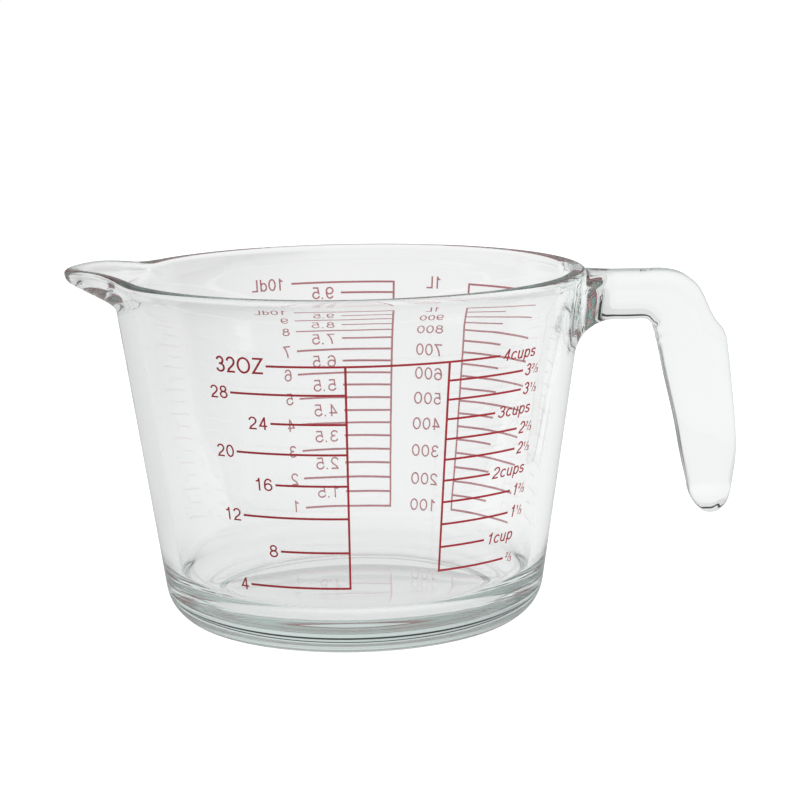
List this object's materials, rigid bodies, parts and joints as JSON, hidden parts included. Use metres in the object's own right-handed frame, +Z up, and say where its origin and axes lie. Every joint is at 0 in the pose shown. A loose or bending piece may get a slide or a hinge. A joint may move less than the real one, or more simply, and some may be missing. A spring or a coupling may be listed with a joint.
{
  "type": "measuring jug",
  "caption": "Pressed-glass measuring jug with a tapered bowl, drawn-out pouring spout, open hook handle and printed volume scales.",
  "frame": {"origin": "centre of the foot ring, on the table", "axes": "+X towards the handle, away from the spout; -Y towards the front, which carries the ounce and cup scales; +Z up"},
  "size_m": [0.2124, 0.1496, 0.1136],
  "materials": {
    "glass": "clear, fire-polished, with a faint grey-green tint",
    "enamel": "glossy fired enamel"
  },
  "bodies": {
    "root": {"glass_bowl": "glass", "pouring_spout": "glass", "handle": "glass", "ounce_scale": "enamel", "cup_scale": "enamel", "decilitre_scale": "enamel", "millilitre_scale": "enamel"}
  },
  "joints": []
}
